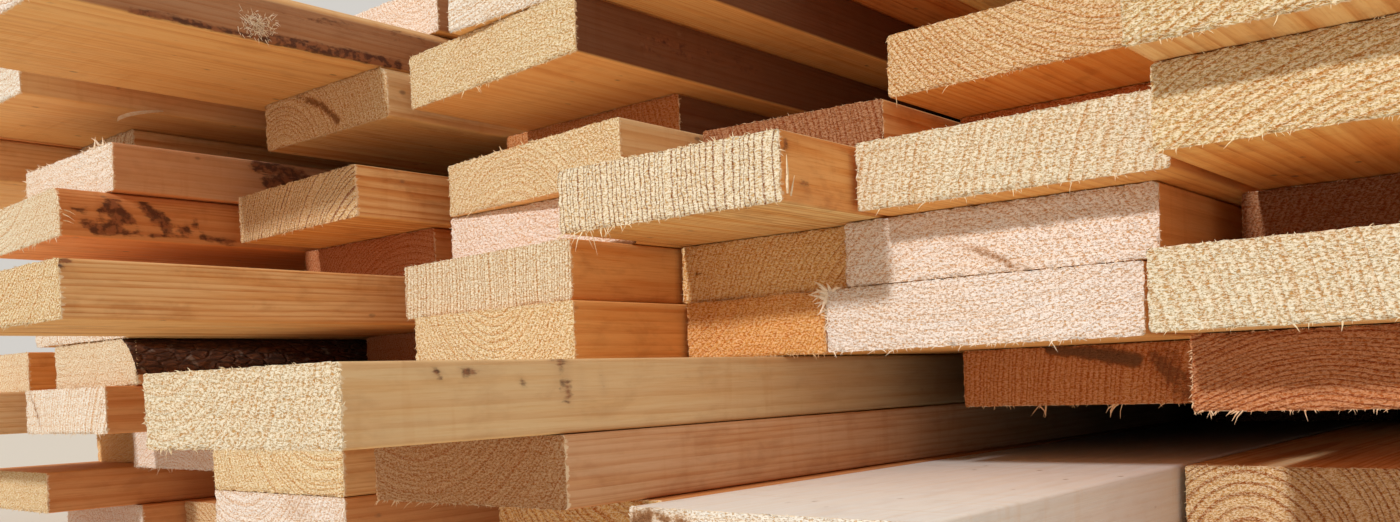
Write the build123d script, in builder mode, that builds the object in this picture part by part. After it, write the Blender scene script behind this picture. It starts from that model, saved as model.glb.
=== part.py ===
import os

from build123d import *

# Driving dimensions, in millimetres
board_thickness = 38
board_length = 3600
short_length = 3000          # boards pushed far back in the pile are a size shorter
edge_chamfer = 1.2           # the saw leaves the long edges nearly sharp

# The widths the boards are sawn to
broad = 194
wide = 187
full = 181
middle = 172
fair = 168
narrow = 157
slim = 130
strip = 108

# Each layer, from the floor up, and in it each board, left to right:
# the gap to the board before it (for the first, to the datum), its width, how far back
# the left corner of its front end lies, and how much further back the right corner lies,
# as the ends are sawn a little out of square.
layers = (
    (
        (-10, middle, 270, 2),
        (4, middle, 313, 0),
        (8, wide, 430, 3),
        (15, wide, 350, -2),
        (10, narrow, 250, 4),
        (10, middle, 270, -3),
        (11, middle, 480, 2),
    ),
    (
        (-20, middle, 190, 0),
        (4, middle, 400, 0),
        (18, wide, 430, -4),
        (8, narrow, 152, 0),
        (74, slim, 209, 2),
        (3, middle, 183, -3),
        (4, middle, 490, 1),
    ),
    (
        (0, middle, 300, 3),
        (4, middle, 260, -2),
        (2, wide, 430, 4),
        (4, narrow, 152, 0),
        (36, narrow, 150, 3),
        (39, middle, 1050, 2),
        (18, middle, 1000, -3),
    ),
    (
        (5, middle, 95, -2),
        (41, narrow, 152, 0),
        (5, narrow, 260, 3),
        (3, wide, 330, 2),
        (4, narrow, 20, 10),
        (57, middle, 470, 0),
        (16, middle, 341, 0),
    ),
    (
        (-40, narrow, 190, 2),
        (107, narrow, 175, 0),
        (17, wide, 375, -3),
        (55, fair, 251, -9),
        (4, strip, 342, 2),
        (5, wide, 338, 2),
        (21, middle, 284, 1),
    ),
    (
        (15, middle, 300, -3),
        (8, middle, 171, 2),
        (9, wide, 48, 1),
        (51, wide, 263, -15),
        (4, slim, 347, 3),
        (4, full, 339, 2),
        (16, middle, 422, 3),
    ),
    (
        (20, middle, 300, 0),
        (8, middle, 420, 3),
        (12, wide, 325, -2),
        (45, wide, 305, -1),
        (4, narrow, 235, 7),
        (4, fair, 308, 2),
        (8, middle, 263, 2),
    ),
    (
        (15, middle, 300, 2),
        (20, middle, 134, -11),
        (27, full, 253, -9),
        (33, broad, 301, -19),
        (6, slim, 356, 12),
        (5, middle, 457, 0),
        (17, middle, 231, 4),
    ),
    (
        (10, middle, 300, -2),
        (28, middle, 164, -1),
        (16, wide, 500, 3),
        (4, wide, 386, -3),
        (14, narrow, 650, 0),
        (4, middle, 374, -4),
        (17, middle, 290, 2),
    ),
    (
        (-10, fair, 75, 1),
        (4, strip, 231, 0),
        (149, fair, 273, 1),
        (27, wide, 275, -15),
        (31, narrow, 700, 3),
        (4, middle, 600, -2),
        (4, narrow, 330, 3),
    ),
    (
        # one place is empty here, under the fifth board of the top layer
        (-12, middle, 60, 2),
        (4, middle, 116, 0),
        (63, full, 36, 1),
        (98, fair, 261, 3),
        (109, middle, 360, 4),
        (13, middle, 330, -2),
    ),
    (
        (30, middle, 150, -3),
        (13, wide, 150, 2),
        (4, middle, 330, 0),
        (30, wide, 330, 3),
        (9, narrow, 420, -2),
        (5, middle, 380, 2),
        (8, middle, 350, -3),
    ),
)

# Boards cut at the edge of the log, where the bark side rounds one upper long edge off:
# (layer, board) and the width and depth of the missing corner
wanes = {
    (5, 2): (26, 30),
    (8, 2): (9, 14),
    (11, 3): (14, 10),
    (10, 3): (8, 12),
    (3, 1): (20, 22),
    (9, 5): (18, 20),
}

wane_bulge = 0.38            # how far the bark side bows out, as a share of the missing corner

far_setback = 500            # past this a board is of the shorter length


def board_corners(layer, place):
    """The four corners of a board in plan: front left, front right, back right, back left."""
    row = layers[layer - 1]
    gap, width, setback, skew = row[place - 1]
    left = gap + sum(gap_before + width_before for gap_before, width_before, _, _ in row[:place - 1])
    length = short_length if setback > far_setback else board_length
    return (
        (left, setback),
        (left + width, setback + skew),
        (left + width, setback + length + skew),
        (left, setback + length),
    )


def places_of(layer):
    """The places of a layer that hold a board, counted from the left."""
    return range(1, len(layers[layer - 1]) + 1)


all_corners = [
    corner
    for layer in range(1, len(layers) + 1)
    for place in places_of(layer)
    for corner in board_corners(layer, place)
]
pile_middle = (
    (min(x for x, y in all_corners) + max(x for x, y in all_corners)) / 2,
    (min(y for x, y in all_corners) + max(y for x, y in all_corners)) / 2,
)


def sawn_board(layer, place):
    """One sawn board where it lies in the pile."""
    corners = [(x - pile_middle[0], y - pile_middle[1]) for x, y in board_corners(layer, place)]
    with BuildPart() as board:
        with BuildSketch(Plane.XY.offset((layer - 1) * board_thickness)):
            with BuildLine():
                Polyline(*corners, close=True)
            make_face()
        extrude(amount=board_thickness)
        chamfer(board.edges().filter_by(Axis.Y, tolerance=1), edge_chamfer)
        if (layer, place) in wanes:
            # The bark side of the log: a rounded strip missing along the upper right edge
            wane_width, wane_depth = wanes[(layer, place)]
            front, back = corners[1][1] - board_thickness, corners[2][1] + board_thickness
            right, top = corners[1][0], layer * board_thickness
            low = (right, top - wane_depth)
            high = (right - wane_width, top)
            hollow = (right - wane_width * wane_bulge, top - wane_depth * wane_bulge)
            with BuildSketch(Plane((0, front, 0), x_dir=(1, 0, 0), z_dir=(0, -1, 0))):
                with BuildLine():
                    ThreePointArc(low, hollow, high)
                    Line(high, (right, top))
                    Line((right, top), low)
                make_face()
            extrude(amount=front - back, mode=Mode.SUBTRACT)
    return board.part


os.makedirs("parts", exist_ok=True)

for layer in range(1, len(layers) + 1):
    name = f"layer_{layer:02d}"
    sawn_boards = [sawn_board(layer, place) for place in places_of(layer)]
    with BuildPart() as boards:
        add(sawn_boards)
    boards.part.label = name
    export_step(boards.part, f"parts/{name}.step")
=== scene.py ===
import math
import random

import bmesh
import bpy
from mathutils import Matrix, Vector, noise


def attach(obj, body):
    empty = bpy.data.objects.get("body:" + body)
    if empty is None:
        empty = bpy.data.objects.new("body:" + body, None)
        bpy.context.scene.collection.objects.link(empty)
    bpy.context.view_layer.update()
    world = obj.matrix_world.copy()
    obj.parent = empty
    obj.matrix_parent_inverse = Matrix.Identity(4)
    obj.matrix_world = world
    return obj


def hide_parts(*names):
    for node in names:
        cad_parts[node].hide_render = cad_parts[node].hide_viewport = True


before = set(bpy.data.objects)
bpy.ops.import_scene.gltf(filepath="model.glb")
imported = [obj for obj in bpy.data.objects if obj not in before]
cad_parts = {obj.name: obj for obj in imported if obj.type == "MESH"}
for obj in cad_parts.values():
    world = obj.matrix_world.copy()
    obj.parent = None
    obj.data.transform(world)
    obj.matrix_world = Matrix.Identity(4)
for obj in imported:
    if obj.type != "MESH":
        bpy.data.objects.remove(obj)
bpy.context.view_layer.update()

scene = bpy.context.scene
scene.view_settings.view_transform = "Standard"
mm = 0.001


# Camera: close to the front right corner, looking back along the pile

cameraPlace = {
    "spot": (0.6738, -2.3072, 0.1373),
    "heading": 40.19,      # degrees left of the boards' direction
    "pitch": -1.25,
    "roll": -2.13,
    "focal": 1170.4,       # in pixels of the frame
    "levelRow": 408.1,     # the row of the level line, from the top of the frame
    "frameWide": 1400,
    "frameHigh": 522,
    "sensor": 36,
}

camera = bpy.data.objects.new("camera", bpy.data.cameras.new("camera"))
scene.collection.objects.link(camera)
camera.matrix_world = (
    Matrix.Translation(cameraPlace["spot"])
    @ Matrix.Rotation(math.radians(cameraPlace["heading"]), 4, "Z")
    @ Matrix.Rotation(math.radians(90 + cameraPlace["pitch"]), 4, "X")
    @ Matrix.Rotation(math.radians(cameraPlace["roll"]), 4, "Z")
)
camera.data.sensor_width = cameraPlace["sensor"]
camera.data.lens = cameraPlace["focal"] / cameraPlace["frameWide"] * cameraPlace["sensor"]
camera.data.shift_y = (cameraPlace["levelRow"] - cameraPlace["frameHigh"] / 2) / cameraPlace["frameWide"]
camera.data.clip_start = 0.01
camera.data.clip_end = 50
scene.camera = camera


# Shader helpers

def newGroup(name, inputs, outputs):
    # of its sockets Spot is a vector, and the others are numbers
    group = bpy.data.node_groups.new(name, "ShaderNodeTree")
    for names, side in ((inputs, "INPUT"), (outputs, "OUTPUT")):
        for socketName in names:
            kind = "NodeSocketVector" if socketName == "Spot" else "NodeSocketFloat"
            group.interface.new_socket(name=socketName, in_out=side, socket_type=kind)
    return group, group.nodes.new("NodeGroupInput"), group.nodes.new("NodeGroupOutput")


def plug(tree, socket, value):
    if hasattr(value, "is_output"):
        tree.links.new(value, socket)
    else:
        socket.default_value = value


def setInputs(tree, node, values):
    for name, value in values.items():
        plug(tree, node.inputs[name], value)
    return node.outputs


def math2(tree, operation, a, b=0.0, c=None, clamp=False):
    node = tree.nodes.new("ShaderNodeMath")
    node.operation = operation
    node.use_clamp = clamp
    plug(tree, node.inputs[0], a)
    plug(tree, node.inputs[1], b)
    if c is not None:
        plug(tree, node.inputs[2], c)
    return node.outputs[0]


def times(tree, a, b, clamp=False):
    return math2(tree, "MULTIPLY", a, b, clamp=clamp)


def timesPlus(tree, a, b, c, clamp=False):
    # a times b, plus c
    return math2(tree, "MULTIPLY_ADD", a, b, c, clamp)


def rangeOf(tree, value, low, high, newLow=0.0, newHigh=1.0):
    # value from low..high to newLow..newHigh, with soft ends
    node = tree.nodes.new("ShaderNodeMapRange")
    node.interpolation_type = "SMOOTHSTEP"
    return setInputs(tree, node, {
        "Value": value, "From Min": low, "From Max": high, "To Min": newLow, "To Max": newHigh,
    })["Result"]


def scaled(tree, vector, scale):
    node = tree.nodes.new("ShaderNodeVectorMath")
    node.operation = "MULTIPLY"
    plug(tree, node.inputs[0], vector)
    plug(tree, node.inputs[1], scale)
    return node.outputs[0]


def shifted(tree, vector, x, y, z=0.0):
    shift = tree.nodes.new("ShaderNodeCombineXYZ")
    for socket, value in zip(shift.inputs, (x, y, z)):
        plug(tree, socket, value)
    node = tree.nodes.new("ShaderNodeVectorMath")
    plug(tree, node.inputs[0], vector)
    plug(tree, node.inputs[1], shift.outputs[0])
    return node.outputs[0]


def partsOf(tree, vector):
    node = tree.nodes.new("ShaderNodeSeparateXYZ")
    plug(tree, node.inputs[0], vector)
    return node.outputs


def noiseOf(tree, vector, scale, detail=2.0, roughness=0.5, distortion=0.0):
    return setInputs(tree, tree.nodes.new("ShaderNodeTexNoise"), {
        "Vector": vector, "Scale": scale, "Detail": detail, "Roughness": roughness,
        "Distortion": distortion,
    })["Fac"]


def stretchedNoise(tree, vector, stretch, *shape):
    return noiseOf(tree, scaled(tree, vector, stretch), *shape)


def cellsOf(tree, vector, stretch, scale, feature):
    node = tree.nodes.new("ShaderNodeTexVoronoi")
    node.feature = feature
    return setInputs(tree, node, {"Vector": scaled(tree, vector, stretch), "Scale": scale})["Distance"]


def mixColor(tree, factor, a, b, blend="MIX"):
    node = tree.nodes.new("ShaderNodeMix")
    node.data_type = "RGBA"
    node.blend_type = blend
    node.clamp_factor = True
    plug(tree, node.inputs[0], factor)
    plug(tree, node.inputs[6], a)
    plug(tree, node.inputs[7], b)
    return node.outputs[2]


def attribute(tree, name):
    node = tree.nodes.new("ShaderNodeAttribute")
    node.attribute_name = name
    return node


def useGroup(tree, group, **values):
    node = tree.nodes.new("ShaderNodeGroup")
    node.node_tree = group
    return setInputs(tree, node, values)


# Growth rings round the heart of the log
# grainSpot is (across, up, along) in metres from the heart of the log at the front end

ringShape = {
    "slowWander": 16.0,     # noise scales of the rings' bends
    "fineWander": 120.0,
    "slowBend": 8.0,        # times the wobble
    "fineBend": 0.7,
    "crowding": 8.0,        # rings crowd away from the heart
    "yearNoise": 0.23,
    "yearSpread": 2.4,      # how much good and bad years differ
    "stretch": (1.0, 1.0, 0.07),
}


def makeRingGroup():
    group, given, out = newGroup(
        "growthRings", ("Spot", "Spacing", "Seed", "Wobble", "Contrast"), ("Late Wood", "Ring Tone"))
    spot, spacing, seed, wobble = (given.outputs[k] for k in ("Spot", "Spacing", "Seed", "Wobble"))
    placed = shifted(group, scaled(group, spot, ringShape["stretch"]), seed, times(group, seed, 0.37),
                     times(group, seed, 1.7))
    slow = math2(group, "SUBTRACT", noiseOf(group, placed, ringShape["slowWander"]), 0.5)
    fine = math2(group, "SUBTRACT", noiseOf(group, placed, ringShape["fineWander"]), 0.5)
    across, up = partsOf(group, spot)[:2]
    fromHeart = math2(group, "SQRT", timesPlus(group, across, across, times(group, up, up)))
    bent = timesPlus(group, slow, times(group, wobble, ringShape["slowBend"]), fromHeart)
    bent = timesPlus(group, fine, times(group, wobble, ringShape["fineBend"]), bent)
    crowded = timesPlus(group, times(group, bent, bent), ringShape["crowding"], bent)
    count = math2(group, "DIVIDE", crowded, spacing)
    years = group.nodes.new("ShaderNodeTexNoise")
    years.noise_dimensions = "1D"
    yearSpot = timesPlus(group, count, ringShape["yearNoise"], seed)
    drift = setInputs(group, years, {"W": yearSpot, "Scale": 1.0, "Detail": 1.0})["Fac"]
    count = timesPlus(group, drift, ringShape["yearSpread"], count)
    part = math2(group, "FRACT", count)
    # late wood comes on slowly through the year and ends sharply
    onset = rangeOf(group, given.outputs["Contrast"], 0.7, 1.0, 0.40, 0.72)
    rise = rangeOf(group, part, onset, 0.92)
    fall = rangeOf(group, part, 0.94, 1.0, 1.0, 0.0)
    year = group.nodes.new("ShaderNodeTexWhiteNoise")
    year.noise_dimensions = "1D"
    plug(group, year.inputs["W"], math2(group, "FLOOR", count))
    strength = timesPlus(group, year.outputs["Value"], 0.5, 0.6)
    lateWood = times(group, times(group, rise, fall), strength, clamp=True)
    setInputs(group, out, {"Late Wood": lateWood, "Ring Tone": year.outputs["Value"]})
    return group


# The furry surface that a coarse saw leaves across the grain

tornShape = {
    "tuft": (900.0, 3.0, 0.62, 0.3),    # noises: scale, detail, roughness, distortion
    "grit": (1900.0, 2.0, 0.6),
    "lumps": (70.0, 2.0),
    "stretch": (0.55, 1.0, 0.3),
    "sawLines": {"Scale": 42.0, "Distortion": 3.2, "Detail": 2.0, "Detail Scale": 2.5},
}


def makeTornGroup():
    group, given, out = newGroup(
        "tornFibres", ("Spot", "Seed"), ("Tips", "Pits", "Height", "Saw Lines"))
    seed = given.outputs["Seed"]
    placed = shifted(group, given.outputs["Spot"], seed, times(group, seed, 0.61))
    stretched = scaled(group, placed, tornShape["stretch"])
    tuft = noiseOf(group, stretched, *tornShape["tuft"])
    grit = noiseOf(group, stretched, *tornShape["grit"])
    lumps = noiseOf(group, placed, *tornShape["lumps"])
    mostlyTuft = times(group, tuft, 0.65)
    pits = rangeOf(group, timesPlus(group, grit, 0.35, mostlyTuft), 0.38, 0.50, 1.0, 0.0)
    lines = group.nodes.new("ShaderNodeTexWave")
    lines.wave_type = "BANDS"
    lines.bands_direction = "Y"
    bands = setInputs(group, lines, {"Vector": placed, **tornShape["sawLines"]})["Fac"]
    saw = rangeOf(group, bands, 0.62, 1.0)
    height = timesPlus(group, tuft, 1.0, times(group, grit, 0.35))
    height = timesPlus(group, lumps, 0.6, height)
    height = timesPlus(group, pits, -0.2, height)
    height = timesPlus(group, saw, -0.16, height)
    tips = rangeOf(group, timesPlus(group, grit, 0.45, mostlyTuft), 0.52, 0.64)
    setInputs(group, out, {"Tips": tips, "Pits": pits, "Height": height, "Saw Lines": saw})
    return group


# Dirt, mildew, bark dust and one painted shadow: a painted amount broken up by noise

markShape = {
    "specks": (460.0, 3.0, 0.6),    # noises, as above
    "grain": (110.0, 3.0, 0.55, 0.6),
    "patches": (22.0, 3.0, 0.55),
}


def makeMarkGroup():
    group, given, out = newGroup("markBreakup", ("Spot", "Amount", "Stretch"), ("Mask", "Blotch"))
    amount = given.outputs["Amount"]
    across, up, along = partsOf(group, given.outputs["Spot"])
    joined = group.nodes.new("ShaderNodeCombineXYZ")
    for socket, value in zip(joined.inputs, (across, up, times(group, along, given.outputs["Stretch"]))):
        plug(group, socket, value)
    spot = joined.outputs[0]
    specks = times(group, noiseOf(group, spot, *markShape["specks"]), 0.4)
    rough = timesPlus(group, noiseOf(group, spot, *markShape["grain"]), 0.6, specks)
    edge = timesPlus(group, rough, 1.7, math2(group, "SUBTRACT", amount, 1.0))
    broken = times(group, rangeOf(group, edge, 0.15, 0.5), rangeOf(group, amount, 0.0, 0.3))
    setInputs(group, out, {"Mask": broken, "Blotch": noiseOf(group, spot, *markShape["patches"])})
    return group


ringGroup = makeRingGroup()
tornGroup = makeTornGroup()
markGroup = makeMarkGroup()


def newMaterial(name):
    material = bpy.data.materials.new(name)
    material.use_nodes = True
    tree = material.node_tree
    surface = tree.nodes["Principled BSDF"]
    surface.inputs["Specular IOR Level"].default_value = 0.25
    return material, tree, surface


def finishSurface(tree, surface, color, roughness, height, strength, distance):
    bump = setInputs(tree, tree.nodes.new("ShaderNodeBump"), {
        "Strength": strength, "Distance": distance, "Height": height,
    })
    setInputs(tree, surface, {"Base Color": color, "Roughness": roughness, "Normal": bump[0]})


def boardValues(tree):
    # what Board stores in the mesh: grain place, tone with its painted shade and bounce light, soil with
    # one painted shadow, ring spacing, ring contrast and seed
    spacing, contrast, seed = partsOf(tree, attribute(tree, "boardKind").outputs["Vector"])
    spot = attribute(tree, "grainSpot").outputs["Vector"]
    tone = attribute(tree, "boardTone").outputs["Color"]
    return spot, tone, attribute(tree, "soilAndShadow").outputs["Fac"], spacing, contrast, seed


def tinted(tree, color, amount, tint):
    return mixColor(tree, amount, color, tint, "MULTIPLY")


# End grain

endLook = {
    "softRing": (0.80, 0.53, 0.29, 1),    # faint and strong rings, both laid over the board's tone
    "darkRing": (0.40, 0.18, 0.08, 1),
    "yearTint": (0.92, 0.72, 0.46, 1),
    "blotchTint": (0.93, 0.76, 0.55, 1),
    "sawTint": (0.88, 0.66, 0.40, 1),
    # hollow: partly the pits' own deeper colour, partly painted shade in them
    "hollow": (0.86, 0.57, 0.29, 1),
    # tip: partly the fibres' own paleness, partly a painted highlight
    "tip": (1.0, 0.95, 0.86, 1),
    "soilAndShadow": (0.22, 0.09, 0.035, 1),
    "stainAndShadowTint": (0.66, 0.40, 0.19, 1),
    "wobble": 0.0009,
    "bumpDistance": 0.0011,
}

endGrain, tree, surface = newMaterial("endGrain")
spot, tone, soilAndShadow, spacing, contrast, seed = boardValues(tree)
rings = useGroup(tree, ringGroup, Spot=spot, Spacing=spacing, Seed=seed,
                 Wobble=endLook["wobble"], Contrast=contrast)
torn = useGroup(tree, tornGroup, Spot=spot, Seed=seed)
brokenMarks = useGroup(tree, markGroup, Spot=spot, Amount=soilAndShadow, Stretch=1.0)

lateAmount = times(tree, rings["Late Wood"], times(tree, contrast, 1.7), clamp=True)
brokenLate = times(tree, lateAmount, rangeOf(tree, torn["Tips"], 0.0, 1.0, 1.0, 0.7))
ringTint = mixColor(tree, rangeOf(tree, contrast, 0.7, 1.0), endLook["softRing"], endLook["darkRing"])
blotch = times(tree, rangeOf(tree, brokenMarks["Blotch"], 0.42, 0.72), 0.35)
color = tinted(tree, tone, brokenLate, ringTint)
color = tinted(tree, color, times(tree, rings["Ring Tone"], 0.2), endLook["yearTint"])
color = tinted(tree, color, blotch, endLook["blotchTint"])
# painted shade in the torn pits, on top of their own darker colour
color = tinted(tree, color, torn["Pits"], endLook["hollow"])
color = tinted(tree, color, times(tree, torn["Saw Lines"], 0.3), endLook["sawTint"])

# pale fibre tips, partly a painted highlight, but on dark boards they keep the board's own colour
toneParts = tree.nodes.new("ShaderNodeSeparateColor")
plug(tree, toneParts.inputs[0], tone)
paleness = rangeOf(tree, toneParts.outputs[1], 0.2, 0.65, 0.10, 0.58)
paleTip = mixColor(tree, paleness, tone, endLook["tip"])
tipAmount = times(tree, torn["Tips"], timesPlus(tree, brokenLate, -0.4, 0.75))
color = mixColor(tree, tipAmount, color, paleTip)

# weak stains are golden, strong ones dark; the painted shadow on (6, 6) goes the same way
stainAndShadowAmount = timesPlus(tree, soilAndShadow, 0.6, times(tree, brokenMarks["Mask"], 0.5), clamp=True)
color = tinted(tree, color, stainAndShadowAmount, endLook["stainAndShadowTint"])
color = mixColor(tree, times(tree, stainAndShadowAmount, stainAndShadowAmount), color, endLook["soilAndShadow"])
finishSurface(tree, surface, color, rangeOf(tree, torn["Height"], 0.4, 1.4, 0.95, 0.72),
              timesPlus(tree, lateAmount, 0.4, torn["Height"]), 1.0, endLook["bumpDistance"])


# Long faces

sideLook = {
    "lateWood": (0.72, 0.44, 0.22, 1),
    "streakTint": (0.88, 0.66, 0.42, 1),
    "fibreTint": (0.84, 0.66, 0.46, 1),
    "grey": (0.66, 0.54, 0.46, 1),
    "sawTint": (0.84, 0.66, 0.48, 1),
    "pinDot": (0.26, 0.15, 0.09, 1),
    "soilAndShadow": (0.06, 0.018, 0.016, 1),
    "oldStain": (0.30, 0.11, 0.05, 1),
    "fringe": (0.96, 0.80, 0.58, 1),
    "wobble": 0.0016,
    "bumpDistance": 0.0008,
    # noises: stretch, scale, detail, roughness, distortion
    "fibres": ((1.0, 1.0, 0.03), 900.0, 3.0, 0.6),
    "streaks": ((1.0, 1.0, 0.045), 170.0, 3.0, 0.55),
    "scuffs": ((1.0, 1.0, 0.5), 60.0, 4.0, 0.6, 0.3),
    "ragged": ((1.0, 1.0, 0.5), 420.0, 3.0, 0.6),
    "sawLines": ((0.08, 0.12, 1.0), 130.0, 2.0, 0.5),
    "sawPatches": ((1.0, 1.0, 1.0), 9.0, 1.0),
    "stainAge": ((1.0, 1.0, 1.0), 160.0, 3.0, 0.6),
    "dots": ((1.0, 1.0, 0.55), 52.0, "F1"),
}

sawnFace, tree, surface = newMaterial("sawnFace")
spot, tone, soilAndShadow, spacing, contrast, seed = boardValues(tree)
rings = useGroup(tree, ringGroup, Spot=spot, Spacing=times(tree, spacing, 1.1), Seed=seed,
                 Wobble=sideLook["wobble"], Contrast=0.5)
brokenMarks = useGroup(tree, markGroup, Spot=spot, Amount=soilAndShadow, Stretch=0.35)
placed = shifted(tree, spot, seed, 0.0, seed)
fibres, streaks, scuffs, ragged, sawLines, sawPatches = (
    stretchedNoise(tree, placed, *sideLook[k])
    for k in ("fibres", "streaks", "scuffs", "ragged", "sawLines", "sawPatches")
)
# saw marks across the board, in patches
sawMark = times(tree, rangeOf(tree, sawLines, 0.52, 0.70), rangeOf(tree, sawPatches, 0.45, 0.62))

pinDots = rangeOf(tree, cellsOf(tree, placed, *sideLook["dots"]), 0.04, 0.12, 1.0, 0.0)
pinDots = times(tree, pinDots, rangeOf(tree, scuffs, 0.42, 0.56))

lateAmount = times(tree, rings["Late Wood"], timesPlus(tree, contrast, 0.8, 0.08), clamp=True)
grainy = timesPlus(tree, contrast, 0.75, 0.12, clamp=True)
streaked = times(tree, rangeOf(tree, streaks, 0.40, 0.70), grainy)
furred = times(tree, rangeOf(tree, fibres, 0.45, 0.75), grainy)
scuffed = times(tree, rangeOf(tree, scuffs, 0.48, 0.72), timesPlus(tree, contrast, 0.4, 0.16))
color = tinted(tree, tone, lateAmount, sideLook["lateWood"])
color = tinted(tree, color, streaked, sideLook["streakTint"])
color = tinted(tree, color, furred, sideLook["fibreTint"])
color = tinted(tree, color, scuffed, sideLook["grey"])
color = tinted(tree, color, times(tree, sawMark, 0.22), sideLook["sawTint"])
color = mixColor(tree, times(tree, pinDots, 0.7), color, sideLook["pinDot"])

# ragged pale fringe where the cross cut broke out of the long faces
along = partsOf(tree, spot)[2]
fringe = rangeOf(tree, timesPlus(tree, ragged, -0.012, along), -0.0056, -0.0038, 1.0, 0.0)
color = mixColor(tree, times(tree, fringe, 0.8), color, sideLook["fringe"])

stainAge = rangeOf(tree, stretchedNoise(tree, spot, *sideLook["stainAge"]), 0.42, 0.60)
stain = mixColor(tree, stainAge, sideLook["soilAndShadow"], sideLook["oldStain"])
color = mixColor(tree, times(tree, soilAndShadow, 0.35), color, sideLook["oldStain"])
color = mixColor(tree, times(tree, brokenMarks["Mask"], 0.85), color, stain)
height = timesPlus(tree, fibres, 0.55, times(tree, streaks, 0.5))
height = timesPlus(tree, sawMark, 0.25, height)
height = timesPlus(tree, lateAmount, 0.2, height)
finishSurface(tree, surface, color, rangeOf(tree, streaks, 0.3, 0.7, 0.62, 0.82), height, 0.7,
              sideLook["bumpDistance"])


# Bark side of the log

barkLook = {
    "inner": (0.22, 0.085, 0.04, 1),
    "crust": (0.10, 0.045, 0.028, 1),
    "lichen": (0.42, 0.35, 0.30, 1),
    "seam": (0.08, 0.04, 0.025, 1),
    "lumps": ((1.0, 1.0, 0.35), 240.0, 5.0, 0.65, 0.8),
    "lichenPatches": ((1.0, 1.0, 1.0), 90.0, 4.0),
    "flakes": ((1.0, 1.0, 0.4), 170.0, "DISTANCE_TO_EDGE"),
    "bumpDistance": 0.003,
}

barkEdge, tree, surface = newMaterial("barkEdge")
spot = boardValues(tree)[0]
lumps = stretchedNoise(tree, spot, *barkLook["lumps"])
seams = rangeOf(tree, cellsOf(tree, spot, *barkLook["flakes"]), 0.0, 0.16, 1.0, 0.0)
lichen = rangeOf(tree, stretchedNoise(tree, spot, *barkLook["lichenPatches"]), 0.60, 0.72)
color = mixColor(tree, rangeOf(tree, lumps, 0.38, 0.58), barkLook["inner"], barkLook["crust"])
color = mixColor(tree, times(tree, lichen, 0.6), color, barkLook["lichen"])
color = mixColor(tree, times(tree, seams, 0.45), color, barkLook["seam"])
finishSurface(tree, surface, color, rangeOf(tree, lumps, 0.3, 0.7, 0.75, 0.95),
              timesPlus(tree, seams, -0.6, lumps), 1.0, barkLook["bumpDistance"])


# Loose fibres, splinters and shavings

fibreLook = {
    "bleached": (0.96, 0.84, 0.62, 1),
    "strandTint": (0.80, 0.58, 0.34, 1),
    "strand": ((1.0, 1.0, 0.4), 700.0, 2.0),
    "bumpDistance": 0.0003,
}

tornFibre, tree, surface = newMaterial("tornFibre")
spot, tone = boardValues(tree)[:2]
strand = stretchedNoise(tree, spot, *fibreLook["strand"])
color = mixColor(tree, 0.55, tone, fibreLook["bleached"])
color = tinted(tree, color, times(tree, rangeOf(tree, strand, 0.4, 0.7), 0.5), fibreLook["strandTint"])
finishSurface(tree, surface, color, rangeOf(tree, strand, 0.3, 0.7, 0.6, 0.85), strand, 0.4,
              fibreLook["bumpDistance"])

print("materials made")


# The boards

# the tones of freshly sawn and weathered softwood, and a near-black painted shade: ends, then long faces
boardTones = {
    "cream": (0.86, 0.76, 0.55),
    "blush": (0.98, 0.89, 0.84),
    "straw": (0.83, 0.66, 0.37),
    "honey": (0.78, 0.54, 0.26),
    "orange": (1.0, 0.66, 0.25),
    "amber": (0.74, 0.31, 0.10),
    "russet": (0.62, 0.25, 0.10),
    "bleached": (0.96, 0.91, 0.83),
    "brown": (0.40, 0.17, 0.07),
    "umber": (0.62, 0.35, 0.17),
    "copper": (0.88, 0.44, 0.11),
    # painted shade: near black, for boards far back in the dark between the others
    "shadowBlack": (0.10, 0.04, 0.02),
}
faceTones = {
    # near white: partly pale wood, partly painted sunlight
    "pale": (0.98, 0.98, 0.98),
    "tan": (0.90, 0.66, 0.38),
    "warm": (0.90, 0.58, 0.29),
    "bright": (0.92, 0.50, 0.19),
    "rust": (0.80, 0.40, 0.17),
    "dun": (0.76, 0.47, 0.28),
    "weathered": (0.50, 0.27, 0.15),
    "smoky": (0.22, 0.10, 0.055),
    # painted shade: near black, for boards far back in the dark between the others
    "shadowBlack": (0.10, 0.04, 0.02),
}

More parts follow.
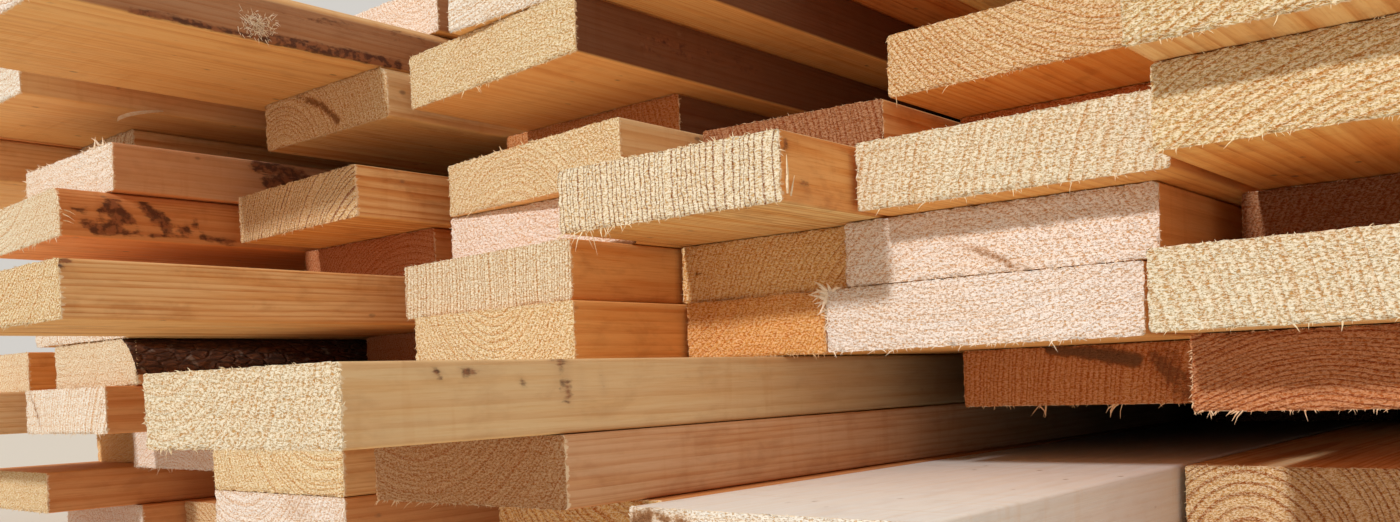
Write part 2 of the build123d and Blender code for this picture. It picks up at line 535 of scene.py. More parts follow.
# Looks of single boards: (layer, place) to end tone, face tone, heart of the log in mm from the
# middle of the front end (right, up), ring spacing there in mm, how strongly the rings show
boardLooks = {
    (12, 3): ("blush", "warm", (60, 40), 4.0, 0.3),
    (12, 4): ("straw", "warm", (60, 90), 4.0, 0.3),
    (11, 2): ("bleached", "warm", (60, 40), 4.0, 0.3),
    (11, 3): ("blush", "warm", (60, 60), 4.0, 0.4),
    (11, 4): ("bleached", "warm", (-90, 110), 3.6, 0.45),
    (10, 2): ("cream", "warm", (120, -30), 5.2, 0.8),
    (10, 3): ("honey", "tan", (-60, -40), 4.6, 0.55),
    (10, 4): ("straw", "warm", (40, -120), 3.6, 0.3),
    (9, 2): ("bleached", "dun", (60, 120), 4.0, 0.2),
    (9, 4): ("amber", "warm", (150, 30), 3.6, 0.5),
    (9, 6): ("honey", "warm", (70, 115), 4.6, 0.66),
    (9, 7): ("honey", "warm", (150, -110), 4.6, 0.68),
    (8, 2): ("cream", "rust", (-60, 120), 5.0, 0.5),
    (8, 3): ("honey", "warm", (130, -100), 5.0, 0.95),
    (8, 4): ("straw", "tan", (-20, -60), 4.4, 0.4),
    # (8, 5): its dark brown end is painted shade, standing in for the shadow of boards above it
    (8, 5): ("brown", "warm", (-260, -60), 4.6, 0.8),
    (8, 6): ("amber", "warm", (60, 60), 3.6, 0.4),
    (8, 7): ("straw", "warm", (60, -210), 5.2, 0.7),
    (7, 3): ("russet", "rust", (60, -110), 4.2, 0.6),
    (7, 4): ("blush", "bright", (40, 90), 5.0, 0.3),
    (7, 5): ("cream", "tan", (240, 4), 4.6, 1.0),
    (7, 6): ("cream", "bright", (270, -70), 6.4, 0.5),
    (7, 7): ("straw", "bright", (60, -210), 5.2, 0.7),
    (6, 2): ("bleached", "warm", (120, 20), 4.2, 0.5),
    (6, 3): ("straw", "warm", (-60, 120), 3.2, 0.75),
    (6, 4): ("cream", "bright", (-230, 10), 4.2, 0.8),
    (6, 5): ("orange", "bright", (120, -60), 3.6, 0.55),
    (6, 6): ("blush", "bright", (-22, -52), 5.6, 0.3),
    (6, 7): ("brown", "rust", (100, -60), 4.0, 0.5),
    (5, 2): ("cream", "rust", (-60, 40), 4.0, 0.3),
    (5, 3): ("russet", "rust", (40, 40), 4.0, 0.5),
    (5, 4): ("straw", "bright", (5, 42), 4.6, 0.5),
    # (5, 5): its copper end is darkened as painted shade, for the shadow of (7, 5) above it
    (5, 5): ("copper", "bright", (-90, 60), 4.0, 0.4),
    (5, 6): ("blush", "bright", (-10, 160), 4.2, 0.25),
    (5, 7): ("cream", "warm", (-260, -70), 5.6, 0.42),
    (4, 2): ("bleached", "rust", (160, -50), 5.0, 0.6),
    (4, 5): ("cream", "tan", (-60, 52), 5.4, 0.34),
    (4, 6): ("amber", "rust", (200, -30), 4.5, 0.75),
    (4, 7): ("russet", "rust", (-20, -130), 3.0, 0.85),
    (3, 4): ("straw", "warm", (60, 64), 4.6, 0.5),
    (3, 5): ("umber", "dun", (-40, 90), 3.4, 0.5),
    (2, 1): ("straw", "rust", (-90, 60), 4.0, 0.4),
    (2, 4): ("blush", "rust", (-40, 70), 4.6, 0.4),
    # (2, 6): near-white long faces, partly pale wood and partly painted sunlight on its top
    (2, 6): ("bleached", "pale", (40, 80), 4.4, 0.02),
    (2, 7): ("honey", "tan", (-50, -30), 5.2, 0.85),
    # (3, 6) and (3, 7) sit far back in the dark: their near-black tones are painted shade
    (3, 6): ("shadowBlack", "shadowBlack", (60, 40), 4.0, 0.3),
    (3, 7): ("shadowBlack", "shadowBlack", (60, 40), 4.0, 0.3),
    (1, 1): ("blush", "rust", (-50, -30), 5.2, 0.3),
}

# Boards whose right face has a tone other than the rest
rightTones = {
    (12, 3): "weathered", (12, 4): "smoky", (11, 3): "weathered", (11, 4): "smoky", (10, 4): "smoky",
    (9, 4): "smoky", (7, 5): "bright",
}

# Looks of the boards that are not in the list: what they are drawn from by chance
chanceLooks = {
    "ends": ("straw", "honey", "cream", "orange", "blush"),
    "faces": ("tan", "warm", "bright", "rust"),
    "heartAcross": (-140, 140),
    "heartUp": (45, 130),       # as far below as above
    "ringGap": (3.2, 5.6),
    "contrast": (0.3, 0.8),
}
everyBoard = {
    "seed": (0, 40),
    "tint": (0.94, 1.04),
    "underBounceLift": (1.25, 1.12, 0.95),    # painted bounce light: undersides lighter and warmer than the other faces
    "ringLift": 12,                     # evens out the crowding of the rings, per metre from the heart
}

# Boards with a specially coarse front end
coarseEnds = ((9, 2), (9, 7), (8, 7), (7, 5), (7, 6), (6, 6), (5, 6), (5, 7), (4, 5), (4, 7), (2, 1))

# Stains, and a painted shadow on (6, 6): (layer, place) to strokes of face, across and up where the stroke
# starts, the same where it ends, radius, amount; in mm. Across counts from the left on the end, and from
# the front on a side.
boardStainsAndShadow = {
    (11, 3): (
        ("side", 55, 2, 150, 2, 2.5, 0.8), ("side", 150, 2, 255, 4, 3.5, 0.95),
        ("side", 160, 24, 280, 28, 8, 0.3),
    ),
    (10, 4): (("side", 60, 20, 180, 20, 9, 0.35),),
    (10, 3): (
        ("end", 48, 37, 62, 31, 2, 0.55), ("end", 62, 31, 82, 24, 3, 0.7),
        ("end", 82, 24, 104, 8, 3, 0.75),
    ),
    (9, 2): (
        ("side", 121, 34, 165, 30, 6, 0.75), ("side", 133, 20, 200, 26, 8, 0.85),
        ("side", 165, 12, 260, 18, 12, 0.9), ("side", 19, 22, 20, 23, 1.5, 0.5),
        ("side", 33, 15, 34, 15, 1.5, 0.5), ("side", 44, 25, 45, 25, 1.5, 0.5),
    ),
    (8, 2): (
        ("side", 31, 20, 44, 34, 4, 0.8), ("side", 40, 27, 52, 17, 5, 0.95),
        ("side", 45, 17, 38, 9, 5, 0.95), ("side", 19, 12, 30, 7, 4, 0.8),
        ("side", 10, 21, 22, 23, 2, 0.6), ("side", 26, 5, 60, 8, 3, 0.8),
        ("side", 66, 29, 72, 20, 5, 0.9), ("side", 76, 22, 82, 13, 5, 0.9),
        ("side", 68, 6, 98, 8, 3, 0.75), ("side", 97, 10, 106, 18, 4, 0.7),
        ("side", 112, 8, 138, 4, 3, 0.85), ("side", 45, 34, 50, 38, 2, 0.6),
    ),
    (7, 5): (
        ("side", 5, 29, 7, 33, 2, 0.6), ("side", 14, 8, 20, 10, 2.5, 0.6),
        ("side", 24, 12, 26, 6, 2, 0.5),
    ),
    (7, 4): (("end", 108, 0, 187, 0, 3, 1.0),),
    # painted shadow: the diagonal strokes on (6, 6)'s end stand for a cast shadow, not a stain
    (6, 6): (
        ("end", 66, 20, 80, 15, 2, 0.35), ("end", 80, 15, 92, 10, 2.5, 0.5),
        ("end", 92, 10, 108, 1, 3, 0.45),
    ),
    (6, 5): (("end", 12, 19, 22, 17, 1.2, 0.7),),
    (6, 3): (("side", 1, 34, 5, 36, 3, 0.8),),
    (4, 6): (
        ("end", 61, 36, 86, 33, 3.5, 1.0), ("end", 86, 33, 116, 27, 4.5, 1.0),
        ("end", 130, 26, 146, 8, 10, 0.6),
    ),
    (4, 5): (
        ("side", 50, 33, 51, 32, 2, 0.7), ("side", 65, 32, 69, 32, 2.5, 0.6),
        ("side", 72, 33, 73, 34, 2, 0.6), ("side", 101, 28, 101, 29, 1.5, 0.8),
        ("side", 122, 37, 129, 36, 2.5, 0.7), ("side", 126, 35, 129, 18, 4, 0.55),
        ("side", 138, 34, 138, 12, 2, 0.3), ("side", 154, 30, 156, 20, 2, 0.3),
        ("side", 233, 25, 234, 25, 2, 0.6), ("side", 20, 6, 44, 10, 3, 0.25),
    ),
    (4, 2): (("end", 10, 34, 22, 20, 2, 0.6), ("end", 22, 20, 30, 6, 2.5, 0.5)),
    (2, 6): (
        ("end", 4, 31, 14, 33, 5, 0.8), ("end", 20, 34, 26, 31, 4, 0.7),
        ("end", 34, 31, 40, 28, 5, 0.7), ("end", 12, 14, 30, 10, 8, 0.6),
    ),
    (2, 4): (("end", 92, 33, 116, 33, 3.5, 0.3), ("end", 94, 26, 114, 26, 3.5, 0.3)),
}

# Tufts of longer splinters: (layer, place) to edge, where they begin and end on it, count, shortest,
# longest, thickness; in mm
boardTufts = {
    (9, 2): (
        ("top", 4, 60, 14, 2, 6, 1.2), ("left", 4, 30, 8, 2, 6, 1.0),
        ("top", 120, 168, 9, 2, 6, 1.4),
    ),
    (8, 4): (("top", 10, 120, 16, 1.5, 4, 0.9),),
    (8, 2): (("low", 100, 168, 9, 2, 6, 0.9), ("right", 4, 30, 6, 2, 9, 0.9)),
    (7, 5): (
        ("low", 2, 40, 12, 7, 16, 1.0), ("low", 40, 90, 6, 3, 9, 0.8),
        ("top", 100, 150, 9, 1.5, 4, 0.8), ("top", 50, 100, 8, 1.5, 3.5, 0.8),
        ("right", 4, 30, 7, 1.5, 4, 0.7),
    ),
    (6, 6): (("low", 70, 175, 10, 3, 9, 0.9),),
    (6, 4): (("right", 4, 34, 8, 1.5, 4, 0.8),),
    (5, 6): (
        ("left", 31, 38, 14, 5, 13, 2.2), ("left", 10, 36, 14, 2, 5, 1.0),
        ("low", 4, 180, 14, 2, 5, 0.8),
    ),
    (4, 7): (
        ("low", 16, 24, 4, 4, 8, 1.2), ("low", 1, 12, 8, 2, 5, 0.9), ("left", 4, 30, 14, 2, 4, 0.9),
    ),
    (4, 6): (("low", 52, 58, 4, 6, 11, 1.1), ("low", 100, 108, 5, 6, 12, 1.2)),
    (4, 5): (
        ("right", 2, 36, 18, 1.5, 4, 0.9), ("low", 2, 150, 16, 1.5, 4, 0.9),
        ("top", 20, 110, 9, 1.5, 4, 0.8),
    ),
    (4, 2): (("top", 60, 150, 7, 2, 5, 0.9),),
    (3, 5): (("low", 2, 30, 9, 2, 5, 1.0),),
    (2, 1): (("right", 2, 30, 10, 2, 5, 0.9),),
}

barkBoards = ((5, 2), (3, 1), (9, 5))    # the other rounded edges are bare wood

# Single large splinters: (layer, place) to how far the root is from the left, from the front and up,
# heading, length, thickness; in mm
boardSlivers = {
    (9, 2): (
        (140, 1, 37.4, (0.6, -0.2, 0.5), 12, 2.2), (150, 1, 37.4, (-0.5, -0.3, 0.8), 11, 2.0),
        (156, 1, 37.4, (0.7, -0.3, 0.6), 9, 2.4),
    ),
    (8, 2): (
        (171.6, 4, 20, (0.4, 0.9, -0.3), 9, 1.0), (171.6, 3, 17, (0.5, 0.8, -0.5), 10, 1.1),
        (171.6, 3, 12, (0.4, 0.9, -0.2), 8, 1.0),
    ),
    (7, 5): ((156.6, 6, 5, (0.16, -0.1, 1.0), 20, 2.4), (156.6, 9, 4, (0.25, 0.1, 1.0), 11, 1.6)),
    (5, 6): (
        (1, 0.3, 37, (-0.5, -0.5, 0.7), 10, 2.6), (3, 0.3, 37, (0.3, -0.8, 0.6), 9, 2.4),
        (5, 0.3, 37, (0.9, -0.6, 0.2), 11, 2.6), (0.5, 0.3, 30, (-1.0, -0.4, 0.1), 8, 2.0),
        (0.5, 0.3, 26, (-1.0, -0.5, -0.4), 7, 1.8),
    ),
}

shavingBoard = (11, 2)
shavingShape = {
    "back": 0.111, "length": 0.034, "width": 0.0035, "drop": 0.012, "twist": 1.1, "thickness": 0.0004,
}

# Fluff that the saw pulled out of a right face: (layer, place) to how far back and up the patch
# reaches, count, shortest, longest, thickness; in mm
boardFluff = {(11, 3): ((125, 156), (1, 20), 190, 3.0, 7.5, 0.7)}

boardShape = {
    "endStep": 6.0,          # mm between the cuts across and up, halved again on the front end
    "sideStep": 5.4,
    "frontRows": (1.2, 3, 6, 11, 18, 28, 40, 54, 70, 88, 108, 130, 154, 180, 210, 245, 290, 350, 430,
                  540, 700, 950),
    "backRows": (1.2, 4, 12, 40, 150, 500, 1100),
    "stainRow": 5,           # mm between rows where a stain lies
    "stainMargin": 12,
    "shrink": 0.28,          # mm, so that the joints between boards show as fine dark lines
    "ripple": 0.30,          # mm, slow waves of the sawn faces
    "barkRipple": 1.3,
    "endTear": 1.0,          # mm, torn fibres across the ends
    "coarseTear": 1.6,       # times that on the coarse ends
    "rimDrop": 0.35,         # mm, the ends' rims are worn back
    "rimWander": 0.8,
    "tearBand": 0.0004,      # m, how near a vertex or face is to a side or an end to count as on it
    "endBand": 0.0006,
    "arrisBand": 0.0013,
    "edgeBand": 0.0014,
    "rimBand": 0.0016,
    "faceBand": 0.002,
    "stainBand": 0.003,
    "paintedShade": 0.90,            # painted shade: how far the faces darken deep between the boards
    "paintedShadeStart": 0.18,       # m from the nearer end, and on undersides
    "paintedShadeStartBelow": 0.26,
    "paintedShadeReach": 0.55,
}

# Broken fibres round every front end: edge, fewest, most, shortest, longest, thickness, in mm
rimFibres = (
    ("low", 34, 50, 1.0, 3.2, 0.5), ("low", 2, 6, 4.0, 8.0, 0.7), ("top", 26, 40, 0.8, 2.4, 0.5),
    ("right", 12, 18, 0.8, 2.4, 0.5), ("left", 4, 8, 1.0, 2.4, 0.6),
)
# Ways in which they point, by edge: across, along, up
fibreHeadings = {
    "low": ((-0.8, 0.8), (-0.9, 0.3), (-0.15, -1.0)),
    "top": ((-0.9, 0.9), (-0.1, -1.0), (0.0, 0.8)),
    "right": ((0.2, 1.0), (-0.8, 0.4), (-0.9, 0.5)),
    "left": ((-0.1, -0.8), (-0.3, -1.0), (-0.9, 0.6)),
}
fibreInset = 0.0006
rimClear = {"low": 2, "top": 2, "right": 3, "left": 3}    # mm, kept free of them at each corner
floorClear = 0.001
layerCount = 12


# the order of the materials on every piece
faceKinds = {"side": 0, "end": 1, "bark": 2, "fibre": 3}


def boardsOf(node):
    # the merged copies of a layer's boards, from left to right
    whole = bmesh.new()
    whole.from_mesh(node.data)
    bmesh.ops.remove_doubles(whole, verts=whole.verts, dist=1e-5)
    bmesh.ops.dissolve_limit(whole, angle_limit=math.radians(1), verts=whole.verts, edges=whole.edges)
    whole.verts.index_update()
    owner = {}
    groups = []
    for vert in whole.verts:
        if vert.index in owner:
            continue
        reach = [vert]
        owner[vert.index] = len(groups)
        for found in reach:
            for edge in found.link_edges:
                other = edge.other_vert(found)
                if other.index not in owner:
                    owner[other.index] = len(groups)
                    reach.append(other)
        groups.append(len(reach))
    boards = []
    for number in range(len(groups)):
        single = whole.copy()
        single.verts.index_update()
        others = [v for v in single.verts if owner[v.index] != number]
        bmesh.ops.delete(single, geom=others, context="VERTS")
        boards.append(single)
    whole.free()
    return sorted(boards, key=lambda b: min(v.co.x for v in b.verts))


def spread(low, high, step):
    count = max(2, round((high - low) / step))
    return [low + (high - low) * k / count for k in range(1, count)]


def waver(point, scale, seed):
    return noise.noise(Vector((point.x * scale + seed, point.y * scale * 0.3, point.z * scale - seed)))


def strokeAt(stains, face, across, up):
    # the strongest stroke at this place of the face
    amount = 0.0
    for strokeFace, across1, up1, across2, up2, radius, strength in stains:
        if strokeFace == face:
            run = Vector((across2 - across1, up2 - up1))
            away = Vector((across - across1, up - up1))
            along = min(1.0, max(0.0, away.dot(run) / max(run.length_squared, 0.01)))
            far = (away - run * along).length / radius
            amount = max(amount, strength * math.exp(-0.7 * far * far))
    return amount


def looksOf(layer, place, dice):
    # one board's tones, rings and seed
    byChance = (
        dice.choice(chanceLooks["ends"]), dice.choice(chanceLooks["faces"]),
        (dice.uniform(*chanceLooks["heartAcross"]),
         dice.choice((-1, 1)) * dice.uniform(*chanceLooks["heartUp"])),
        dice.uniform(*chanceLooks["ringGap"]), dice.uniform(*chanceLooks["contrast"]),
    )
    endName, faceName, heart, ringGap, contrast = boardLooks.get((layer, place), byChance)
    seed = dice.uniform(*everyBoard["seed"])
    tint = dice.uniform(*everyBoard["tint"])

    def toned(color):
        return [min(1.0, value * tint) for value in color] + [1.0]

    face = toned(faceTones[faceName])
    return {
        "end": toned(boardTones[endName]),
        "face": face,
        "right": toned(faceTones[rightTones.get((layer, place), faceName)]),
        # undersides: the face tone lifted by painted bounce light
        "under": [min(0.97, value * lift) for value, lift in zip(face, everyBoard["underBounceLift"])] + [1.0],
        "heart": heart,
        "ringGap": ringGap * (1 + everyBoard["ringLift"] * math.hypot(*heart) * mm) * mm,
        "contrast": contrast,
        "seed": seed,
    }


class Board:
    # one board of a layer, in its own mesh, and the steps that dress it

    def __init__(self, wood, layer, place, lastPlace):
        self.wood, self.layer, self.place, self.lastPlace = wood, layer, place, lastPlace
        xs = [v.co.x for v in wood.verts]
        zs = [v.co.z for v in wood.verts]
        self.left, self.right, self.low, self.top = min(xs), max(xs), min(zs), max(zs)
        nearLeft = [v.co.y for v in wood.verts if v.co.x < self.left + 0.0005]
        nearRight = [v.co.y for v in wood.verts if v.co.x > self.right - 0.0005]
        self.frontLeft, self.backLeft = min(nearLeft), max(nearLeft)
        self.slope = (min(nearRight) - min(nearLeft)) / (self.right - self.left)    # of the skewed ends
        self.frontNormal = Vector((self.slope, -1, 0)).normalized()
        self.dice = random.Random(layer * 100 + place)
        self.looks = looksOf(layer, place, self.dice)
        self.seed = self.looks["seed"]
        self.kind = Vector((self.looks["ringGap"], self.looks["contrast"], self.seed))
        self.heart = ((self.left + self.right) / 2 + self.looks["heart"][0] * mm,
                      (self.low + self.top) / 2 + self.looks["heart"][1] * mm)
        self.stains = boardStainsAndShadow.get((layer, place), ())

    def frontOf(self, x):
        return self.frontLeft + self.slope * (x - self.left)

    def backOf(self, x):
        return self.backLeft + self.slope * (x - self.left)

    def cut(self, spot, normal):
        geometry = self.wood.verts[:] + self.wood.edges[:] + self.wood.faces[:]
        bmesh.ops.bisect_plane(self.wood, geom=geometry, plane_co=spot, plane_no=normal, dist=2e-5)

    def cutRows(self):
        # cuts across and up, and along the board ones parallel to its skewed ends
        shape = boardShape
        for x in spread(self.left, self.right, shape["endStep"] * mm):
            self.cut((x, 0, 0), (1, 0, 0))
        for z in spread(self.low, self.top, shape["sideStep"] * mm):
            self.cut((0, 0, z), (0, 0, 1))
        ends = [max(stain[1], stain[3]) + shape["stainMargin"] for stain in self.stains
                if stain[0] == "side"]
        lastRow = int(max(ends, default=0) / shape["stainRow"])
        stainRows = [shape["stainRow"] * k for k in range(1, lastRow)]
        for back in sorted(set(shape["frontRows"]) | set(stainRows)):
            self.cut((self.left, self.frontLeft + back * mm, 0), self.frontNormal)
        for back in shape["backRows"]:
            self.cut((self.left, self.backLeft - back * mm, 0), self.frontNormal)
        self.wood.normal_update()
        frontFaces = [f for f in self.wood.faces if f.normal.dot(self.frontNormal) > 0.99]
        frontEdges = list(dict.fromkeys(e for f in frontFaces for e in f.edges))
        bmesh.ops.subdivide_edges(self.wood, edges=frontEdges, cuts=1, use_grid_fill=True)
        self.wood.normal_update()

    def markFaces(self):
        shape = boardShape
        hasBark = (self.layer, self.place) in barkBoards
        for face in self.wood.faces:
            n, spot = face.normal, face.calc_center_median()
            face.smooth = True
            onArris = spot.x > self.right - shape["arrisBand"] and spot.z > self.top - shape["arrisBand"]
            if abs(n.dot(self.frontNormal)) > 0.99:
                face.material_index = faceKinds["end"]
            elif hasBark and n.z > 0.05 and 0.05 < n.x < 0.995 and not onArris:
                face.material_index = faceKinds["bark"]
            else:
                face.material_index = faceKinds["side"]

    def addLayers(self):
        layers = self.wood.verts.layers
        self.layers = {
            "spot": layers.float_vector.new("grainSpot"),
            "tone": layers.float_color.new("boardTone"),
            "kind": layers.float_vector.new("boardKind"),
            "soilAndShadow": layers.float.new("soilAndShadow"),
        }

    def mark(self, vert, tone):
        # what the materials read at this vertex, from where it lies now
        across, up = vert.co.x - self.heart[0], vert.co.z - self.heart[1]
        vert[self.layers["spot"]] = Vector((across, up, vert.co.y - self.frontOf(vert.co.x)))
        vert[self.layers["tone"]] = tone
        vert[self.layers["kind"]] = self.kind

    def toneAt(self, point, depth):
        # the end's own tone, or the face's, darker deep between the boards by painted shade; undersides
        # take the tone lifted by painted bounce light
        shape, looks = boardShape, self.looks
        if depth < shape["endBand"]:
            return looks["end"]
        bare, start = looks["face"], shape["paintedShadeStart"]
        if point.x > self.right - shape["endBand"]:
            bare = looks["right"]
        elif point.z < self.low + shape["endBand"]:
            bare, start = looks["under"], shape["paintedShadeStartBelow"]
        outside = (
            (self.layer == layerCount and point.z > self.top - shape["faceBand"])
            or (self.place == 1 and point.x < self.left + shape["faceBand"])
            or (self.lastPlace and point.x > self.right - shape["faceBand"])
        )
        # painted shade: the tone darkens with depth between the boards, but not on the pile's outer faces
        share = 0.0 if outside else min(1.0, max(0.0, (depth - start) / shape["paintedShadeReach"]))
        shade = 1 - shape["paintedShade"] * share * share * (3 - 2 * share)
        return [value * shade for value in bare[:3]] + [1.0]

    def soilAndShadowAt(self, point, fromFront):
        soilAndShadow, up = 0.0, (point.z - self.low) / mm
        if fromFront < boardShape["faceBand"]:
            soilAndShadow = strokeAt(self.stains, "end", (point.x - self.left) / mm, up)
        if point.x > self.right - boardShape["stainBand"]:
            soilAndShadow = max(soilAndShadow, strokeAt(self.stains, "side", fromFront / mm, up))
        return soilAndShadow

    def shiftAt(self, vert, fromFront, fromBack):
        # faces wave and shrink inward, bark is lumpy, ends are torn
        shape, seed, point = boardShape, self.seed, vert.co
        shift = Vector((0, 0, 0))
        wave = abs(waver(point, 14, seed) * shape["ripple"] * mm)
        if point.z > self.top - shape["edgeBand"]:
            shift.z -= shape["shrink"] * mm + wave
        elif point.z < self.low + shape["edgeBand"]:
            shift.z += shape["shrink"] * mm + wave
        if point.x > self.right - shape["edgeBand"]:
            shift.x -= wave * 1.2
        elif point.x < self.left + shape["edgeBand"]:
            shift.x += wave * 1.2
        if any(f.material_index == faceKinds["bark"] for f in vert.link_faces):
            shift += vert.normal * waver(point, 60, seed + 5) * shape["barkRipple"] * mm
        if min(fromFront, fromBack) < shape["tearBand"]:
            tear = shape["endTear"] * mm
            tear *= shape["coarseTear"] if (self.layer, self.place) in coarseEnds else 1.0
            outward = -1 if fromFront < fromBack else 1
            rough = waver(point, 300, seed) * 0.8 + waver(point, 90, seed + 9) * 0.3
            shift.y += outward * (rough + waver(point, 640, seed + 3) * 0.6) * tear
            fromRim = min(self.top - point.z, point.z - self.low,
                          self.right - point.x, point.x - self.left)
            if fromRim < shape["rimBand"]:
                shift.y -= outward * shape["rimDrop"] * mm
                shift.x += waver(point, 480, seed + 21) * shape["rimWander"] * mm
                shift.z += waver(point, 430, seed + 33) * shape["rimWander"] * mm
        return shift

    def addSplinter(self, root, direction, length, width):
        # a tapered fibre in two straight parts, rooted in the board
        root = Vector(root)
        heading = Vector(direction).normalized()
        bend = Vector((noise.noise(root * 900), noise.noise(root * 700), -0.35))
        for thick, thin in ((1.0, 0.62), (0.62, 0.12)):
            run = heading * length * 0.5
            turn = heading.to_track_quat("Z", "Y").to_matrix().to_4x4()
            place = Matrix.Translation(root + run * 0.5) @ turn
            made = bmesh.ops.create_cone(self.wood, cap_ends=True, segments=4, radius1=width * 0.5 * thick,
                                         radius2=width * 0.5 * thin, depth=run.length, matrix=place)
            for vert in made["verts"]:
                self.mark(vert, self.looks["end"])
                for face in vert.link_faces:
                    face.material_index = faceKinds["fibre"]
                    face.smooth = False
            root = root + run
            heading = (heading + bend * 0.7).normalized()

    def fibresAlong(self, edge, begin, end, count, shortest, longest, width):
        # broken fibres along one edge of the front end
        dice, left, right, low, top = self.dice, self.left, self.right, self.low, self.top
        for _ in range(count):
            at = dice.uniform(begin, end) * mm
            length = dice.uniform(shortest, longest) * mm
            if edge == "low":
                root = (left + at, self.frontOf(left + at) + dice.uniform(0, 0.0015), low + fibreInset)
            elif edge == "top":
                root = (left + at, self.frontOf(left + at) + 0.0004, top - fibreInset)
            elif edge == "right":
                root = (right - fibreInset, self.frontOf(right) + 0.0005, low + at)
            else:
                root = (left + fibreInset, self.frontOf(left) + 0.0005, low + at)
            direction = [dice.uniform(*reach) for reach in fibreHeadings[edge]]
            # none reaches the floor
            if root[2] - length > floorClear or edge == "top":
                self.addSplinter(root, direction, length, width * dice.uniform(0.6, 1.3) * mm)

    def addFluff(self, reach, rise, count, shortest, longest, width):
        dice = self.dice
        for _ in range(count):
            back, up = dice.triangular(*reach) * mm, dice.triangular(*rise) * mm
            heading = (dice.uniform(0.2, 0.8), dice.uniform(-1.0, 0.7), dice.uniform(-1.0, 0.6))
            length = dice.uniform(shortest, longest) * mm
            root = (self.right - fibreInset, self.frontOf(self.right) + back, self.low + up)
            self.addSplinter(root, heading, length, width * mm)

    def addShaving(self):
        # a curled shaving that hangs from the lower right edge
        curl = shavingShape
        root = Vector((self.right - 0.0004, self.frontOf(self.right) + curl["back"], self.low + 0.003))
        grid = bmesh.ops.create_grid(self.wood, x_segments=12, y_segments=1, size=0.5)["verts"]
        for vert in grid:
            along, across = vert.co.x + 0.5, vert.co.y
            turn = curl["twist"] * along
            vert.co = root + Vector((
                0.003 * math.sin(along * 3.0) + across * curl["width"] * math.cos(turn),
                -curl["length"] * along + 0.004 * math.sin(along * 5.0),
                -curl["drop"] * along * along + across * curl["width"] * math.sin(turn),
            ))
            self.mark(vert, self.looks["end"])
        skin = list(dict.fromkeys(face for vert in grid for face in vert.link_faces))
        for face in skin:
            face.material_index = faceKinds["fibre"]
        bmesh.ops.solidify(self.wood, geom=skin, thickness=curl["thickness"])

    def addLooseWood(self):
        key = (self.layer, self.place)
        wide, high = (self.right - self.left) / mm, (self.top - self.low) / mm
        for edge, fewest, most, shortest, longest, width in rimFibres:
            span = wide if edge in ("low", "top") else high
            clear = rimClear[edge]
            count = self.dice.randint(fewest, most)
            self.fibresAlong(edge, clear, span - clear, count, shortest, longest, width)
        for tuft in boardTufts.get(key, ()):
            self.fibresAlong(*tuft)
        for across, back, up, heading, length, width in boardSlivers.get(key, ()):
            x = self.left + across * mm
            root = (x, self.frontOf(x) + back * mm, self.low + up * mm)
            self.addSplinter(root, heading, length * mm, width * mm)
        if key in boardFluff:
            self.addFluff(*boardFluff[key])
        if key == shavingBoard:
            self.addShaving()

    def dress(self):
        self.cutRows()
        self.addLayers()
        self.markFaces()
        for vert in self.wood.verts:
            point = vert.co.copy()
            fromFront = point.y - self.frontOf(point.x)
            fromBack = self.backOf(point.x) - point.y
            self.mark(vert, self.toneAt(point, min(fromFront, fromBack)))
            vert[self.layers["soilAndShadow"]] = self.soilAndShadowAt(point, fromFront)
            vert.co = point + self.shiftAt(vert, fromFront, fromBack)
        self.addLooseWood()


def joinInto(target, part):
    scratch = bpy.data.meshes.new("scratch")
    part.to_mesh(scratch)
    target.from_mesh(scratch)
    bpy.data.meshes.remove(scratch)
    part.free()


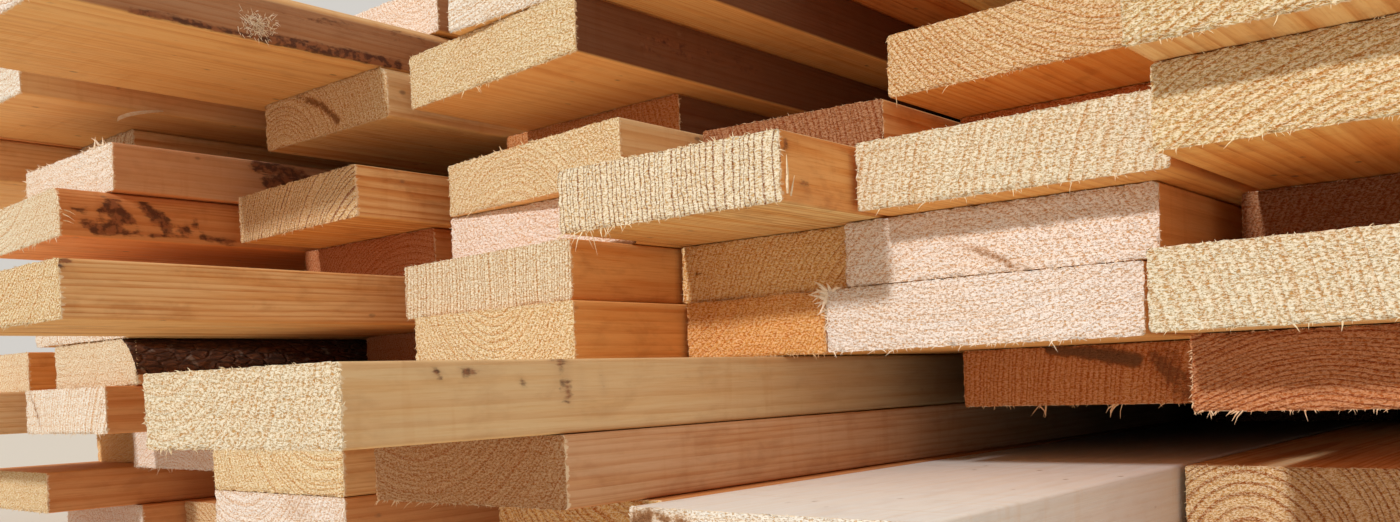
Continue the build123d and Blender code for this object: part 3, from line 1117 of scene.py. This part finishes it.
pieceCount = 0
triangleCount = 0
for layer in range(1, layerCount + 1):
    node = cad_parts[f"layer_{layer:02d}"]
    whole = bmesh.new()
    boards = boardsOf(node)
    for place, wood in enumerate(boards, start=1):
        Board(wood, layer, place, place == len(boards)).dress()
        joinInto(whole, wood)
    mesh = bpy.data.meshes.new(f"boards_{layer:02d}")
    whole.to_mesh(mesh)
    whole.free()
    mesh.set_sharp_from_angle(angle=math.radians(38))
    for material in (sawnFace, endGrain, barkEdge, tornFibre):
        mesh.materials.append(material)
    piece = bpy.data.objects.new(f"boards_{layer:02d}", mesh)
    scene.collection.objects.link(piece)
    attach(piece, "root")
    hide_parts(f"layer_{layer:02d}")
    pieceCount += 1
    mesh.calc_loop_triangles()
    triangleCount += len(mesh.loop_triangles)
    print("layer", layer, "dressed,", len(mesh.loop_triangles), "triangles")
print(pieceCount, "pieces,", triangleCount, "triangles")


# Floor and light

floorLook = {"size": 16.0, "color": (0.80, 0.77, 0.72, 1), "roughness": 0.85}

floorMesh = bpy.data.meshes.new("floor")
sheet = bmesh.new()
bmesh.ops.create_grid(sheet, x_segments=2, y_segments=2, size=floorLook["size"] / 2)
sheet.to_mesh(floorMesh)
sheet.free()
floor = bpy.data.objects.new("floor", floorMesh)
floor.location.z = -0.0005
scene.collection.objects.link(floor)
floorPaint, tree, surface = newMaterial("floorPaint")
setInputs(tree, surface, {"Base Color": floorLook["color"], "Roughness": floorLook["roughness"]})
floorMesh.materials.append(floorPaint)

lightPlan = {
    "keyDirection": (0.05, 1.0, -0.50),   # the way the light travels, from over the left shoulder
    "keyStrength": 2.15,
    "keySoftness": 4.0,                   # degrees
    "keyColor": (0.97, 0.97, 0.95),
    "worldColor": (1.0, 0.88, 0.74, 1),
    "worldStrength": 0.60,
    "backdropColor": (0.66, 0.63, 0.59, 1),
}

key = bpy.data.objects.new("key", bpy.data.lights.new("key", "SUN"))
key.data.energy = lightPlan["keyStrength"]
key.data.angle = math.radians(lightPlan["keySoftness"])
key.data.color = lightPlan["keyColor"]
key.rotation_euler = Vector(lightPlan["keyDirection"]).to_track_quat("-Z", "Y").to_euler()
scene.collection.objects.link(key)

world = bpy.data.worlds.new("studio")
world.use_nodes = True
scene.world = world
tree = world.node_tree
fill = tree.nodes["Background"]
setInputs(tree, fill, {"Color": lightPlan["worldColor"], "Strength": lightPlan["worldStrength"]})
backdrop = tree.nodes.new("ShaderNodeBackground")
backdrop.inputs["Color"].default_value = lightPlan["backdropColor"]
seen = tree.nodes.new("ShaderNodeLightPath")
blend = tree.nodes.new("ShaderNodeMixShader")
tree.links.new(seen.outputs["Is Camera Ray"], blend.inputs[0])
tree.links.new(fill.outputs[0], blend.inputs[1])
tree.links.new(backdrop.outputs[0], blend.inputs[2])
tree.links.new(blend.outputs[0], tree.nodes["World Output"].inputs["Surface"])

bpy.context.view_layer.update()
print("scene ready")
